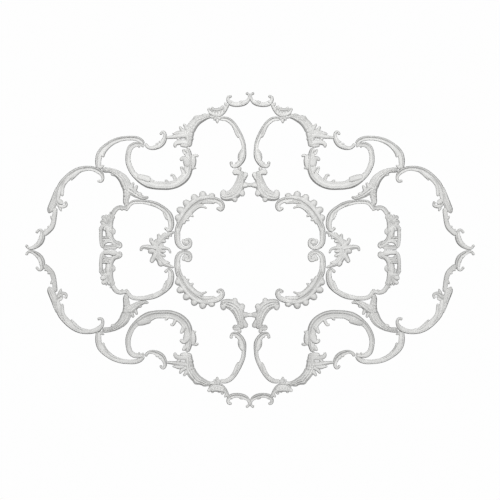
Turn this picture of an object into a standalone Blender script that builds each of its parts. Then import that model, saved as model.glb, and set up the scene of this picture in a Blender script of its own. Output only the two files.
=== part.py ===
"""Ceiling medallion of sixty flat-backed plaster castings, drawn on its plan.

The ceiling is the plane z = 0 and the relief hangs below it. X is the long axis,
Y the short one, and the origin is the middle of the composition. One quarter is
drawn and mirrored, so each casting has its mirror images in the other quarters.
"""

import math

import bmesh
import bpy
import numpy as np

# Driving sizes, in millimetres
LENGTH = 3600.0
RELIEF = 32.0
FULL_BAND = 60.0
LEAST_RISE = 0.35
SEAM = 0.3

# The plan is drawn on a medallion 3600 long, and every place scales with LENGTH
PLAN_LENGTH = 3600.0
METRES = LENGTH / PLAN_LENGTH * 0.001

# How far a facet may leave its curve, the most it may turn, its least length, the
# share of the facets that stays once the bands of a casting are joined, and how many
# more stay for each band that is joined on
TOLERANCE = 4.5
TURN = math.radians(60.0)
LEAST_FACET = 9.0
KEPT_FACETS = 0.8
JOINT_FACETS = 8
THIN_STEP = 1.05
FINE = 12

# Sections, from the bead side to the thin side: share of width, share of rise
GUTTER = ((0, 0), (0.2, 1), (0.52, 0.58), (0.84, 0.78), (1, 0))
BAND = ((0, 0), (0.26, 1), (0.74, 0.8), (1, 0))
RIDGE = ((0, 0), (0.5, 1), (1, 0))

# Corners move less than their faces when a cutter grows, and near-flat backs are flat
SEAM_GROWTH = 1.5
BACK_FLAT = 0.0001

PLASTER = (0.72, 0.72, 0.71, 1.0)
PLASTER_ROUGHNESS = 0.85

for old in list(bpy.data.objects):
    bpy.data.objects.remove(old, do_unlink=True)


def smooth_path(points):
    """Centripetal curve through (x, y, width) points, finely sampled."""
    p = np.array(points, float)
    p = np.vstack([2 * p[0] - p[1], p, 2 * p[-1] - p[-2]])
    samples = []
    for four in zip(p, p[1:], p[2:], p[3:]):
        knots = [0.0]
        for a, b in zip(four, four[1:]):
            knots.append(knots[-1] + max(math.hypot(*(b - a)[:2]), 1e-3) ** 0.5)
        for t in np.linspace(knots[1], knots[2], FINE, endpoint=False):
            level = list(four)
            for reach in (1, 2, 3):
                level = [
                    ((knots[i + reach] - t) * a + (t - knots[i]) * b)
                    / (knots[i + reach] - knots[i])
                    for i, (a, b) in enumerate(zip(level, level[1:]))
                ] if reach < 3 else [
                    ((knots[2] - t) * level[0] + (t - knots[1]) * level[1])
                    / (knots[2] - knots[1])
                ]
            samples.append(level[0])
    samples.append(p[-2])
    return np.array(samples)


def strip(points, bead="left", section=GUTTER, lobes=()):
    """A moulded band along a path. Each lobe is the (x, y) of its tip and its base."""
    return {"points": points, "bead": bead, "section": section, "lobes": lobes}


def leaf(root, tip, width, bend=0.0):
    """A pointed leaf from root to tip, bent to the left by a share of its length."""
    (x0, y0), (x1, y1) = root, tip
    dx, dy = x1 - x0, y1 - y0
    points = []
    for along, share in ((0.0, 0.7), (0.45, 1.0), (1.0, 0.14)):
        side = bend * math.sin(math.pi * along)
        points.append((x0 + along * dx - side * dy, y0 + along * dy + side * dx,
                       share * width))
    return strip(points, section=RIDGE)


def ends_in_button(x, y, radius, heading):
    """Three stations that round off a hook, entered on a heading in degrees."""
    ux, uy = math.cos(math.radians(heading)), math.sin(math.radians(heading))
    return [(x + along * radius * ux, y + along * radius * uy, 2 * share * radius)
            for along, share in ((-0.6, 0.9), (0.1, 1.05), (0.9, 0.6))]


def strays(points):
    """The farthest that a run of points lies from the chord between its ends."""
    chord = points[-1] - points[0]
    across = np.array((-chord[1], chord[0])) / max(np.linalg.norm(chord), 1e-6)
    return np.abs((points - points[0]) @ across).max()


def stations(band):
    """(left edge, right edge, width) where the path needs a section."""
    path = smooth_path(band["points"])
    centre = path[:, :2]
    ahead = np.gradient(centre, axis=0)
    ahead /= np.linalg.norm(ahead, axis=1)[:, None]
    left = np.stack([-ahead[:, 1], ahead[:, 0]], axis=1)
    half = path[:, 2:] / 2
    edges = np.stack([centre + half * left, centre - half * left], axis=1)
    run = np.concatenate([[0], np.cumsum(np.linalg.norm(np.diff(centre, axis=0), axis=1))])
    angle = np.unwrap(np.arctan2(ahead[:, 1], ahead[:, 0]))
    last = len(path) - 1

    tips = []
    feet = []
    for x, y, base in band["lobes"]:
        tip = np.array((x, y), float)
        at = int(np.argmin(np.linalg.norm(centre - tip, axis=1)))
        side = int(np.dot(tip - centre[at], left[at]) < 0)
        start = int(np.searchsorted(run, run[at] - base / 2))
        end = min(int(np.searchsorted(run, run[at] + base / 2)), last)
        for foot, step in ((start, 1), (end, -1)):
            for i in range(foot, at, step):
                share = (i - foot) / (at - foot)
                edges[i, side] = (1 - share) * edges[foot, side] + share * tip
        edges[at, side] = tip
        tips.append(at)
        feet += [start, end]
    kept = {0, last, *tips}
    for foot in feet:
        if min(abs(run[foot] - run[i]) for i in kept) > LEAST_FACET:
            kept.add(foot)

    chosen = [0]
    while chosen[-1] < last:
        here = chosen[-1]
        reach = min(i for i in kept if i > here)
        while reach > here + 1 and (
                max(strays(edges[here:reach + 1, side]) for side in (0, 1)) > TOLERANCE
                or abs(angle[reach] - angle[here]) > TURN):
            reach -= 1
        chosen.append(reach)
    return [(edges[i, 0], edges[i, 1], path[i, 2]) for i in chosen]


def loft(band):
    """The band as a closed mesh object."""
    mesh = bmesh.new()
    rings = []
    for left, right, width in stations(band):
        near, far = (left, right) if band["bead"] == "left" else (right, left)
        rise = RELIEF * min(1.0, max(LEAST_RISE, (width / FULL_BAND) ** 0.5))
        ring = []
        for share, drop in band["section"]:
            x, y = near + share * (far - near)
            ring.append(mesh.verts.new((x * METRES, y * METRES, -drop * rise * 0.001)))
        rings.append(ring)
    count = len(rings[0])
    for a, b in zip(rings, rings[1:]):
        for i in range(count):
            j = (i + 1) % count
            mesh.faces.new((a[i], a[j], b[j], b[i]))
    mesh.faces.new(rings[0][::-1])
    mesh.faces.new(rings[-1])
    bmesh.ops.recalc_face_normals(mesh, faces=mesh.faces)
    return as_object(mesh, "band")


def as_object(mesh, name):
    data = bpy.data.meshes.new(name)
    mesh.to_mesh(data)
    mesh.free()
    obj = bpy.data.objects.new(name, data)
    bpy.context.scene.collection.objects.link(obj)
    return obj


def boss(x, y, radius, sides=12, rise=0.9, top=0.62):
    """A round boss: a low cone with a flat top."""
    mesh = bmesh.new()
    bmesh.ops.create_cone(mesh, cap_ends=True, segments=sides, radius1=radius * METRES * top,
                          radius2=radius * METRES, depth=RELIEF * rise * 0.001)
    bmesh.ops.translate(mesh, verts=mesh.verts,
                        vec=(x * METRES, y * METRES, -RELIEF * rise * 0.0005))
    return as_object(mesh, "boss")


def hole(x, y, long, wide, turn=0.0, sides=8):
    """An oval cutter for a pierced place."""
    mesh = bmesh.new()
    bmesh.ops.create_cone(mesh, cap_ends=True, segments=sides, radius1=0.5, radius2=0.5,
                          depth=4 * RELIEF * 0.001)
    cos, sin = math.cos(math.radians(turn)), math.sin(math.radians(turn))
    for vert in mesh.verts:
        u, v = vert.co.x * long * METRES, vert.co.y * wide * METRES
        vert.co.x = x * METRES + cos * u - sin * v
        vert.co.y = y * METRES + sin * u + cos * v
    return as_object(mesh, "hole")


def box(low, high):
    """A box cutter from one corner to the other, in plan millimetres."""
    mesh = bmesh.new()
    bmesh.ops.create_cube(mesh, size=1.0)
    for vert in mesh.verts:
        for axis in range(2):
            vert.co[axis] = (low[axis] if vert.co[axis] < 0 else high[axis]) * METRES
        vert.co.z *= 4 * RELIEF * 0.001
    return as_object(mesh, "box")


def coping_cutter(body, across=None):
    """A finished casting grown by the seam, and mirrored where an axis is given."""
    mesh = bmesh.new()
    mesh.from_mesh(body.data)
    mesh.normal_update()
    for vert in mesh.verts:
        vert.co += vert.normal * SEAM_GROWTH * SEAM * 0.001
    if across:
        for vert in mesh.verts:
            vert.co["xy".index(across)] *= -1
        bmesh.ops.reverse_faces(mesh, faces=mesh.faces)
    return as_object(mesh, "coping")


def combine(base, others, operation):
    """Applies one exact Boolean for each of the others and removes them."""
    for other in others:
        modifier = base.modifiers.new("combine", "BOOLEAN")
        modifier.operation = operation
        modifier.solver = "EXACT"
        modifier.object = other
    graph = bpy.context.evaluated_depsgraph_get()
    data = bpy.data.meshes.new_from_object(base.evaluated_get(graph))
    base.modifiers.clear()
    base.data = data
    for other in others:
        bpy.data.objects.remove(other, do_unlink=True)
    return base


def triangle_count(obj):
    obj.data.calc_loop_triangles()
    return len(obj.data.loop_triangles)


def is_closed(data):
    """True where each edge of the mesh has two faces."""
    mesh = bmesh.new()
    mesh.from_mesh(data)
    closed = all(len(edge.link_faces) == 2 for edge in mesh.edges)
    mesh.free()
    return closed


def thin(obj, count):
    """Collapses the short facets that joining makes, down to a triangle count.

    A collapse can pinch a joint, so the count grows until the surface stays closed.
    """
    modifier = obj.modifiers.new("thin", "DECIMATE")
    modifier.ratio = min(1.0, count / triangle_count(obj))
    while True:
        graph = bpy.context.evaluated_depsgraph_get()
        data = bpy.data.meshes.new_from_object(obj.evaluated_get(graph))
        if is_closed(data) or modifier.ratio == 1.0:
            break
        modifier.ratio = min(1.0, modifier.ratio * THIN_STEP)
    obj.modifiers.clear()
    obj.data = data
    for vert in data.vertices:
        if vert.co.z > -BACK_FLAT:
            vert.co.z = 0.0
    return obj


def keep_main_body(obj):
    """Drops crumbs that a cut left loose, and heals hair-thin triangles."""
    mesh = bmesh.new()
    mesh.from_mesh(obj.data)
    bmesh.ops.remove_doubles(mesh, verts=mesh.verts, dist=1e-5)
    bmesh.ops.dissolve_limit(mesh, angle_limit=math.radians(0.5), verts=mesh.verts,
                             edges=mesh.edges)
    mesh.verts.ensure_lookup_table()
    bodies = []
    seen = set()
    for start in mesh.verts:
        if start in seen:
            continue
        body, edge = {start}, [start]
        while edge:
            for link in edge.pop().link_edges:
                for vert in link.verts:
                    if vert not in body:
                        body.add(vert)
                        edge.append(vert)
        seen |= body
        bodies.append(body)
    largest = max(bodies, key=len)
    bmesh.ops.delete(mesh, geom=[v for v in mesh.verts if v not in largest], context="VERTS")
    bmesh.ops.triangulate(mesh, faces=mesh.faces)
    mesh.to_mesh(obj.data)
    mesh.free()
    return obj


def tip_scroll():
    """C at the end of the long axis, with a hook at each end."""
    return [strip(ends_in_button(1704, 143, 12, 305)[::-1]
                  + [(1687, 161, 22), (1668, 154, 26), (1661, 130, 38), (1662, 105, 48),
                     (1669, 80, 50), (1682, 57, 48), (1703, 37, 42), (1728, 21, 34),
                     (1752, 13, 26), (1771, 15, 22)]
                  + ends_in_button(1786, 33, 12, 75), bead="right", section=BAND)]


def side_stem():
    """Bent stem with leaf tips between the tip scroll and the corner leaf."""
    return [strip([(1646, 112, 28), (1630, 138, 44), (1608, 158, 48), (1586, 184, 46),
                   (1574, 220, 44), (1567, 260, 44), (1561, 300, 40), (1556, 338, 34)],
                  section=BAND, lobes=[(1621, 190, 26), (1646, 166, 22)])]


def corner_scroll():
    """Arch between a hook and a volute, with a leaf sheath on its lower end."""
    return [strip(ends_in_button(1210, 552, 12, 20)[::-1]
                  + [(1192, 547, 24), (1178, 566, 24), (1180, 592, 28), (1194, 617, 38),
                     (1220, 636, 42), (1255, 650, 38), (1292, 654, 38), (1330, 650, 44),
                     (1365, 641, 48), (1400, 624, 54), (1438, 597, 58), (1476, 561, 58),
                     (1509, 519, 60), (1529, 475, 56), (1539, 430, 48), (1540, 395, 42),
                     (1529, 363, 38), (1508, 350, 32), (1487, 347, 25), (1469, 358, 25)]
                  + ends_in_button(1474, 379, 12, 60), lobes=[(1432, 556, 44)]),
            strip([(1540, 505, 22), (1556, 450, 38), (1568, 395, 54), (1581, 345, 64),
                   (1600, 303, 36)], section=BAND, lobes=[(1624, 295, 26)]),
            leaf((1513, 500), (1501, 428), 28, bend=0.08)]


def crescent_scroll():
    """Long crescent from the corner arch over to the knot."""
    return [strip([(1212, 650, 34), (1214, 685, 46), (1213, 725, 50), (1203, 768, 50),
                   (1178, 804, 48), (1140, 837, 44), (1100, 863, 42), (1060, 880, 40),
                   (1020, 890, 38), (970, 895, 36), (920, 893, 38), (883, 881, 38),
                   (862, 864, 34), (850, 846, 26)], bead="right",
                  lobes=[(1171, 738, 40), (1165, 675, 24)])]


def kidney_scroll():
    """The largest scroll, leafed along its left side."""
    return [strip([(850, 842, 24), (885, 845, 34), (925, 842, 42), (957, 818, 44),
                   (971, 780, 42), (976, 740, 42), (973, 700, 44), (958, 657, 44),
                   (937, 618, 44), (905, 585, 50), (862, 556, 66), (810, 534, 80),
                   (760, 517, 66), (710, 514, 66), (650, 514, 66), (600, 525, 66),
                   (552, 552, 70), (515, 592, 74), (496, 640, 72), (488, 690, 70),
                   (489, 740, 66), (497, 785, 54), (505, 818, 34)],
                  lobes=[(832, 591, 40), (793, 579, 34), (630, 603, 48), (554, 668, 44),
                         (556, 728, 60), (538, 803, 30), (430, 650, 60), (413, 752, 60)])]


def bridge_scroll():
    """Small hooked scroll between the knot and the upper leaf."""
    return [strip(ends_in_button(712, 930, 12, 290)[::-1]
                  + [(700, 947, 22), (684, 938, 24), (679, 912, 30), (685, 884, 40),
                     (700, 858, 46), (722, 838, 46), (750, 823, 40), (780, 815, 32),
                     (808, 818, 26), (826, 832, 26), (838, 852, 30)],
                  bead="right", section=BAND)]


def upper_acanthus():
    """Acanthus branch with three tips above and a hooked leaf below."""
    return [strip([(310, 1070, 34), (345, 1066, 50), (385, 1052, 62), (425, 1030, 74),
                   (458, 994, 80), (485, 958, 88), (520, 926, 78), (560, 914, 58),
                   (605, 906, 42), (640, 901, 30), (672, 898, 22)], bead="right",
                  lobes=[(368, 1093, 40), (440, 1074, 40), (533, 1010, 44), (564, 991, 36),
                         (620, 932, 30)]),
            strip([(490, 940, 62), (488, 900, 66), (486, 860, 54), (484, 826, 30)],
                  section=BAND, lobes=[(447, 940, 40)]),
            strip([(486, 854, 46), (520, 856, 50), (560, 860, 46), (592, 852, 36),
                   (600, 824, 22)], section=BAND)]


def pear_scroll():
    """Pear-shaped C beside the short axis."""
    return [strip([(240, 1048, 30), (200, 1050, 36), (165, 1036, 40), (130, 1001, 44),
                   (101, 952, 46), (77, 902, 46), (58, 855, 42), (51, 815, 40),
                   (51, 780, 46), (61, 742, 60), (76, 708, 50), (97, 682, 42),
                   (124, 669, 34), (146, 677, 26)]
                  + ends_in_button(150, 698, 13, 100), bead="right",
                  lobes=[(98, 899, 36)])]


def shell_spray():
    """Fan of shell ribs above a small tuft."""
    return [strip([(178, 1166, 28), (200, 1130, 44), (225, 1108, 74), (255, 1104, 84),
                   (285, 1105, 80), (312, 1111, 66), (334, 1118, 40)], bead="right",
                  section=BAND,
                  lobes=[(202, 1179, 20), (227, 1164, 26), (255, 1158, 26),
                         (283, 1152, 26), (309, 1155, 26)]),
            strip([(240, 1078, 24), (240, 1050, 30), (262, 1038, 36), (288, 1050, 30),
                   (296, 1078, 24)], section=RIDGE, lobes=[(262, 1013, 34)])]


def top_scroll():
    """C that opens away from the centre, at the end of the short axis."""
    return [strip(ends_in_button(24, 1252, 12, 20)[::-1]
                  + [(8, 1240, 20), (7, 1217, 21), (18, 1194, 30), (44, 1176, 40),
                     (82, 1164, 38), (120, 1163, 38), (150, 1171, 40), (170, 1187, 32),
                     (177, 1208, 26), (171, 1227, 24)]
                  + ends_in_button(157, 1227, 13, 200), bead="right", section=BAND)]


def rocaille_wing():
    """One wing of the middle shell, from its top curl down to its side tip."""
    return [strip([(78, 664, 26), (72, 632, 56), (66, 600, 72), (68, 560, 84),
                   (78, 520, 94), (98, 480, 94), (137, 444, 90), (178, 430, 78),
                   (212, 430, 64), (236, 438, 30)], bead="right",
                  lobes=[(118, 376, 44), (154, 489, 30), (203, 485, 40), (52, 422, 44),
                         (14, 620, 56)]),
            strip([(78, 622, 50), (112, 619, 46), (142, 620, 36)], section=RIDGE)]


def centre_rocaille():
    """Both wings of the middle shell and the web that joins them."""
    wing = rocaille_wing()
    web = strip([(-50, 520, 30), (0, 517, 22), (50, 520, 30)], section=BAND)
    return wing + [mirrored(band) for band in wing] + [web]


def cockscomb_scroll():
    """C with a toothed comb outside its bead, a leaf inside and a volute at its foot."""
    return [strip(ends_in_button(256, 330, 12, 40)[::-1]
                  + [(240, 320, 23), (222, 328, 26), (216, 352, 28), (226, 380, 34),
                     (256, 396, 48), (300, 404, 66), (345, 408, 70), (392, 404, 72),
                     (436, 384, 76), (472, 356, 76), (514, 305, 78), (548, 254, 66),
                     (573, 202, 58), (582, 150, 48), (584, 100, 46), (579, 60, 45),
                     (561, 32, 42), (534, 18, 32), (506, 18, 30)], bead="right",
                  lobes=[(315, 464, 56), (385, 477, 60), (453, 454, 60), (534, 397, 66),
                         (593, 334, 60), (603, 269, 50), (455, 265, 40),
                         (489, 235, 30)]),
            strip([(345, 332, 14), (385, 347, 22), (430, 332, 28), (470, 300, 30)],
                  section=RIDGE)]


def inner_acanthus():
    """Leafy branch from the corner arch down to the panel scroll."""
    return [strip([(1170, 642, 28), (1125, 638, 36), (1085, 622, 54), (1045, 596, 68),
                   (1012, 562, 84), (990, 515, 88), (983, 470, 76), (987, 430, 60),
                   (992, 390, 50), (986, 350, 32)],
                  lobes=[(1113, 605, 44), (1020, 488, 36)]),
            strip([(985, 500, 56), (950, 480, 76), (918, 452, 70), (880, 428, 46),
                   (812, 421, 16)], section=BAND, bead="right",
                  lobes=[(930, 541, 30), (902, 519, 26), (866, 456, 40)])]


def inner_panel_scroll():
    """Long C that frames the inner side of the panel."""
    return [strip([(985, 322, 26), (975, 348, 32), (957, 370, 34), (932, 383, 34),
                   (900, 387, 34), (850, 385, 34), (800, 377, 42), (750, 362, 44),
                   (706, 338, 42), (669, 307, 48), (645, 270, 58), (632, 230, 50),
                   (630, 195, 46), (637, 168, 38), (655, 156, 28)]
                  + ends_in_button(673, 173, 13, 60), bead="right",
                  lobes=[(665, 240, 40)])]


def trellis_column():
    """Pierced garland with a scrolled head and a curled foot."""
    return [strip([(1112, 300, 34), (1125, 265, 84), (1142, 225, 104), (1148, 190, 108),
                   (1145, 150, 124), (1152, 110, 110), (1147, 70, 108), (1139, 36, 110),
                   (1125, 6, 90)], section=BAND, bead="left",
                  lobes=[(1198, 262, 30), (1204, 222, 26)]),
            strip([(1110, 46, 80), (1065, 36, 62), (1040, 38, 54), (1024, 41, 36)],
                  section=RIDGE),
            strip([(981, 326, 28), (1010, 337, 36), (1042, 340, 38), (1072, 328, 38),
                   (1094, 304, 40), (1106, 270, 44)], section=BAND)]


def palmette():
    """Shell with curled leaves round it and a drooping arm on either side."""
    return [strip([(737, 90, 58), (741, 45, 94), (744, 5, 92), (742, -35, 84),
                   (727, -72, 72), (715, -108, 60)], section=BAND),
            strip([(726, 66, 60), (684, 104, 58), (650, 124, 44), (606, 147, 22)],
                  section=BAND),
            strip([(712, 86, 50), (726, 112, 38), (733, 136, 24)], section=RIDGE),
            strip([(708, 70, 36), (688, 68, 30), (666, 67, 22)], section=RIDGE),
            strip([(742, 60, 50), (774, 62, 48), (790, 82, 36), (789, 110, 26)],
                  section=RIDGE),
            strip([(752, 10, 56), (805, 18, 42), (842, 22, 32), (864, 12, 28),
                   (870, -12, 24)], section=RIDGE),
            strip([(745, 2, 40), (796, -6, 38), (812, -30, 20)], section=RIDGE),
            strip([(712, 12, 40), (678, 14, 28), (650, 6, 24), (634, -30, 16)],
                  section=RIDGE, bead="right"),
            strip([(722, -28, 34), (700, -38, 28), (678, -58, 22)], section=RIDGE),
            strip([(718, -84, 60), (682, -99, 46), (650, -108, 36), (606, -142, 20)],
                  section=BAND),
            strip([(716, -88, 56), (716, -118, 48), (718, -144, 28)], section=RIDGE),
            strip([(748, -28, 50), (775, -60, 38), (788, -85, 32), (790, -109, 26)],
                  section=RIDGE)]


def mirrored(band):
    """The same band on the other side of the short axis."""
    other = dict(band)
    other["points"] = [(-x, y, w) for x, y, w in band["points"]]
    other["lobes"] = [(-x, y, base) for x, y, base in band["lobes"]]
    other["bead"] = {"left": "right", "right": "left"}[band["bead"]]
    return other


# Each casting in the order of fixing: what it is coped against, the axis it stops at
ORDER = (
    (corner_scroll, (), None),
    (tip_scroll, (), "y"),
    (side_stem, (corner_scroll, tip_scroll), None),
    (crescent_scroll, (corner_scroll,), None),
    (kidney_scroll, (crescent_scroll,), None),
    (bridge_scroll, (crescent_scroll, kidney_scroll), None),
    (upper_acanthus, (bridge_scroll, kidney_scroll), None),
    (pear_scroll, (), None),
    (top_scroll, (), "x"),
    (shell_spray, (pear_scroll, top_scroll, upper_acanthus), None),
    (inner_acanthus, (corner_scroll, crescent_scroll), None),
    (centre_rocaille, (pear_scroll,), None),
    (cockscomb_scroll, (centre_rocaille,), "y"),
    (inner_panel_scroll, (cockscomb_scroll, inner_acanthus), None),
    (trellis_column, (inner_panel_scroll, inner_acanthus), "y"),
    (palmette, (cockscomb_scroll, inner_panel_scroll), None),
)
CROSSES = {"centre_rocaille": "x", "palmette": "y"}
EXTRA_BOSSES = {"cockscomb_scroll": (497, 57, 37)}
PIERCINGS = {"trellis_column": ((1169, 124, 14, 30), (1134, 46, 28, 18))}
FAR = PLAN_LENGTH


def build(bands, coped_against, stops_at, finished):
    name = bands.__name__
    parts = [loft(band) for band in bands()]
    if name in EXTRA_BOSSES:
        parts.append(boss(*EXTRA_BOSSES[name]))
    count = (KEPT_FACETS * sum(triangle_count(part) for part in parts)
             + JOINT_FACETS * (len(parts) - 1))
    body = thin(combine(parts[0], parts[1:], "UNION"), count)
    cutters = [coping_cutter(finished[other.__name__]) for other in coped_against]
    if name in CROSSES:
        cutters += [coping_cutter(finished[other.__name__], CROSSES[name])
                    for other in coped_against]
    cutters += [hole(*place) for place in PIERCINGS.get(name, ())]
    if stops_at == "x":
        cutters.append(box((-FAR, -FAR), (SEAM / 2, FAR)))
    if stops_at == "y":
        cutters.append(box((-FAR, -FAR), (FAR, SEAM / 2)))
    combine(body, cutters, "DIFFERENCE")
    return keep_main_body(body)


def plaster(name):
    material = bpy.data.materials.new(name + "_plaster")
    material.use_nodes = True
    shader = material.node_tree.nodes["Principled BSDF"]
    shader.inputs["Base Color"].default_value = PLASTER
    shader.inputs["Roughness"].default_value = PLASTER_ROUGHNESS
    shader.inputs["Metallic"].default_value = 0.0
    return material


def place(pattern, name, sx, sy):
    """One casting of the pattern, as its own object, mirrored into its quarter."""
    obj = bpy.data.objects.new(name, pattern.data)
    obj.scale = (sx, sy, 1)
    bpy.context.scene.collection.objects.link(obj)
    if not pattern.data.materials:
        pattern.data.materials.append(None)
    obj.material_slots[0].link = "OBJECT"
    obj.material_slots[0].material = plaster(name)
    return obj


QUARTERS = {"ne": (1, 1), "nw": (-1, 1), "se": (1, -1), "sw": (-1, -1)}
HALVES = {"x": {"n": (1, 1), "s": (1, -1)}, "y": {"e": (1, 1), "w": (-1, 1)}}

finished = {}
for bands, coped_against, stops_at in ORDER:
    name = bands.__name__
    finished[name] = build(bands, coped_against, stops_at, finished)
    places = HALVES[CROSSES[name]] if name in CROSSES else QUARTERS
    for suffix, (sx, sy) in places.items():
        place(finished[name], name + "_" + suffix, sx, sy)
for pattern in finished.values():
    bpy.data.objects.remove(pattern, do_unlink=True)
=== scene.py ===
import math

import bmesh
import bpy
import numpy as np
from mathutils import Matrix, Vector


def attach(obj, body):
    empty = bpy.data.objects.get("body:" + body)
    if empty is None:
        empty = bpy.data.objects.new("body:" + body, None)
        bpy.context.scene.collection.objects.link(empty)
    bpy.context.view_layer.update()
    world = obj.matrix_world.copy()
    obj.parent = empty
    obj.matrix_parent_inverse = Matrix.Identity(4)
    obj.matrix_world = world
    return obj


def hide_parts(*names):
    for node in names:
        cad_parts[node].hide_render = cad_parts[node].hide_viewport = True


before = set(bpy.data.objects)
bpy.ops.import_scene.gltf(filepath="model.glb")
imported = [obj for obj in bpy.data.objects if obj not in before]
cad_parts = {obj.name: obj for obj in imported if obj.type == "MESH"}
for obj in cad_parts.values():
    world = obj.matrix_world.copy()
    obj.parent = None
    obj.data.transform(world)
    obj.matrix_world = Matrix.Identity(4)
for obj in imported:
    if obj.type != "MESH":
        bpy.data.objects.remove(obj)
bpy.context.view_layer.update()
scene = bpy.context.scene

# The tip scrolls, a pair of small C scrolls at each end of the long axis. They are bands
# of bare gypsum plaster, cast flat-backed in a mould and bedded on the ceiling: a round
# bead along the outer side, a quirk and a hollow beside it, and a thin rim inside.

PLASTER_GREY = (0.62, 0.62, 0.61, 1)
# The darker grey is the colour that painted shade and random blotches of tone darken the
# plaster towards.
SHADE_AND_BLOTCH_GREY = (0.10, 0.10, 0.098, 1)


def add_node(tree, kind, inputs=(), **settings):
    """A node with these settings. An input is given as a value or a socket to join."""
    node = tree.nodes.new(kind)
    for name, value in settings.items():
        setattr(node, name, value)
    for key, value in dict(inputs).items():
        if isinstance(value, bpy.types.NodeSocket):
            tree.links.new(value, node.inputs[key])
        else:
            node.inputs[key].default_value = value
    return node


def add_sockets(tree, way, sockets):
    """The named inputs or outputs of a group, each with its kind and any first value."""
    for name, kind, *first in sockets:
        socket = tree.interface.new_socket(name=name, in_out=way,
                                           socket_type="NodeSocket" + kind)
        if first:
            socket.default_value = first[0]


def plaster_surface_and_shade():
    """Shader nodes for rubbed-down plaster: soft clouds, fine grain, and painted shade in its
    hollows and on its steep walls.
    """
    tree = bpy.data.node_groups.new("plaster_surface_and_shade", "ShaderNodeTree")
    add_sockets(tree, "INPUT", (("Plaster", "Color", PLASTER_GREY),
                                ("Dust", "Color", SHADE_AND_BLOTCH_GREY),
                                ("Dust in hollows", "Float", 0.5),
                                ("Cloud size", "Float", 14.0),
                                ("Grain size", "Float", 240.0)))
    add_sockets(tree, "OUTPUT", (("Colour", "Color"), ("Roughness", "Float"),
                                 ("Normal", "Vector")))
    given = tree.nodes.new("NodeGroupInput").outputs
    place = tree.nodes.new("ShaderNodeTexCoord").outputs["Object"]
    cloud = add_node(tree, "ShaderNodeTexNoise", {
        "Vector": place, "Scale": given["Cloud size"], "Detail": 5}).outputs["Fac"]
    grain = add_node(tree, "ShaderNodeTexNoise", {
        "Vector": place, "Scale": given["Grain size"], "Detail": 3}).outputs["Fac"]
    # The attribute read here is painted shade, darkest on steep walls, in quirks, grooves and
    # cuts.
    hollow = add_node(tree, "ShaderNodeAttribute", attribute_name="painted_shade").outputs["Fac"]
    scaled_shade = add_node(tree, "ShaderNodeMath", {0: hollow, 1: given["Dust in hollows"]},
                       operation="MULTIPLY").outputs[0]
    patches = add_node(tree, "ShaderNodeMapRange", {
        "Value": cloud, "From Min": 0.35, "From Max": 0.7, "To Max": 0.16})
    # Painted shade and random darker blotches, added into one mix factor.
    shade_and_blotches = add_node(tree, "ShaderNodeMath", {0: scaled_shade, 1: patches.outputs["Result"]},
                    operation="ADD", use_clamp=True).outputs[0]
    colour = add_node(tree, "ShaderNodeMix", {
        "Factor": shade_and_blotches, "A": given["Plaster"], "B": given["Dust"]}, data_type="RGBA")
    rough = add_node(tree, "ShaderNodeMapRange", {
        "Value": cloud, "To Min": 0.74, "To Max": 0.94})
    fine = add_node(tree, "ShaderNodeBump", {
        "Strength": 0.25, "Distance": 0.0012, "Height": grain})
    soft = add_node(tree, "ShaderNodeBump", {
        "Strength": 0.35, "Distance": 0.008, "Height": cloud,
        "Normal": fine.outputs["Normal"]})
    add_node(tree, "NodeGroupOutput", {
        "Colour": colour.outputs["Result"], "Roughness": rough.outputs["Result"],
        "Normal": soft.outputs["Normal"]})
    return tree


surface_and_shade = plaster_surface_and_shade()


def shaded_plaster(name, painted_shade_in_hollows):
    """A plaster material whose hollows are darkened by that share of painted shade."""
    material = bpy.data.materials.new(name)
    material.use_nodes = True
    tree = material.node_tree
    effect = add_node(tree, "ShaderNodeGroup", {"Dust in hollows": painted_shade_in_hollows},
                      node_tree=surface_and_shade).outputs
    shader = tree.nodes["Principled BSDF"].inputs
    shader["Specular IOR Level"].default_value = 0.25
    tree.links.new(effect["Colour"], shader["Base Color"])
    tree.links.new(effect["Roughness"], shader["Roughness"])
    tree.links.new(effect["Normal"], shader["Normal"])
    return material


# Each plaster's hollows are darkened by this much painted shade.
scroll_plaster = shaded_plaster("scroll_plaster", painted_shade_in_hollows=0.3)

# The full height of the relief and the smallest gap between two points, in metres.
RELIEF = 0.032
MERGE_WITHIN = 1e-6

# Height and painted shade of a band's section, from its bead side at 0 to its far side at 1.
# The painted shade is darkest on the steep outer wall of the bead, in the quirk and at the
# edges.
MOULDED = ((0, 0), (0.05, 0.36), (0.15, 0.88), (0.22, 1.0), (0.3, 0.9), (0.38, 0.6),
           (0.45, 0.5), (0.6, 0.46), (0.76, 0.5), (0.87, 0.52), (0.94, 0.4),
           (0.985, 0.2), (1, 0))
DOMED = ((0, 0), (0.07, 0.42), (0.2, 0.8), (0.45, 1.0), (0.75, 0.8), (0.94, 0.42), (1, 0))
MOULDED_SHADE = ((0, 1), (0.1, 0.95), (0.17, 0.5), (0.23, 0.12), (0.3, 0.2), (0.37, 0.6),
                (0.42, 0.55), (0.52, 0.2), (0.75, 0.06), (0.92, 0.1), (1, 0.3))
DOMED_SHADE = ((0, 0.6), (0.12, 0.45), (0.3, 0.15), (0.5, 0.05), (0.8, 0.15), (1, 0.4))
# How much darker the grooves of a fluted band are painted, as painted shade.
STRAND_SHADE = 3.0

# How far the strands of a fluted band and the cuts beside a lobe reach across it.
BESIDE_BEAD = ((0, 0), (0.3, 0), (0.42, 1), (0.86, 1), (0.96, 0), (1, 0))
WHOLE_WIDTH = ((0, 0), (0.18, 0.1), (0.3, 1), (0.7, 1), (0.82, 0.1), (1, 0))
BEAD_SIDE = ((0, 1), (0.3, 0.6), (0.62, 0), (1, 0))
FAR_SIDE = ((0, 0), (0.38, 0), (0.7, 0.6), (1, 1))


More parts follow.
